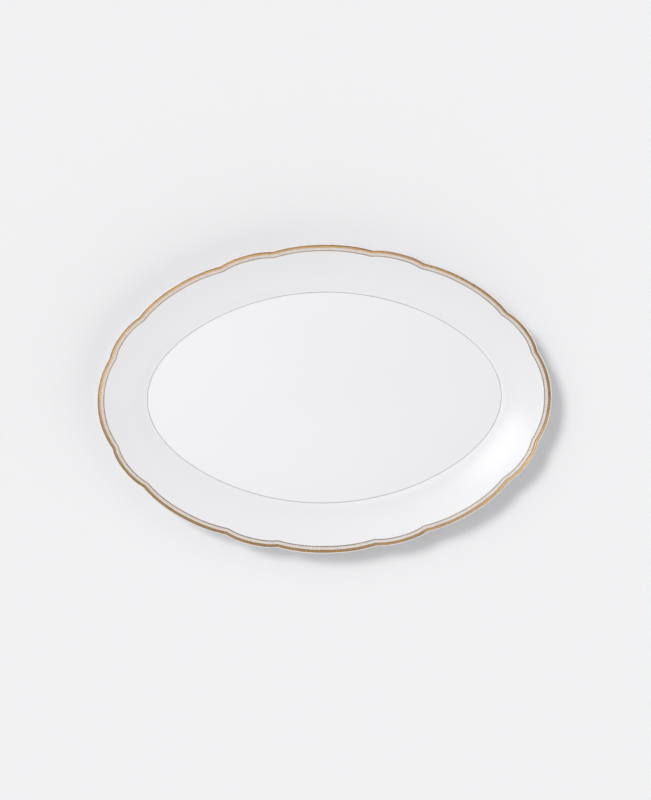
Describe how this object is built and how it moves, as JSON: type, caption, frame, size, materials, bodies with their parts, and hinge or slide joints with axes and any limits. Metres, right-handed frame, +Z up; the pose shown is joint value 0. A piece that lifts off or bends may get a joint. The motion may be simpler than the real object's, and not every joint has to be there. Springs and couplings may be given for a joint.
{
  "type": "serving platter",
  "caption": "Oval white porcelain serving platter with a flat well, a rising scalloped rim, a gilded lip and a low standing ring.",
  "frame": {"origin": "centre of the oval on the table plane, under the middle of the well", "axes": "+X along the platter's long way, +Y along its short way, +Z up out of the dish"},
  "size_m": [0.38, 0.26, 0.026],
  "materials": {
    "porcelain": "fired white porcelain body, matt, seen only where no glaze covers it",
    "biscuit": "unglazed fired porcelain, ground smooth, matt",
    "glaze": "clear glossy glaze over white, opaque as seen",
    "gold": "burnished fired gold",
    "gold_line": "fine fired gold line, half matt"
  },
  "bodies": {
    "root": {"porcelain_body": "porcelain", "foot_ring": "biscuit", "glaze_face": "glaze", "glaze_back": "glaze", "rim_gilding": "gold", "gilt_hatching": "gold_line", "rim_line": "gold_line", "well_line": "gold_line"}
  },
  "joints": []
}
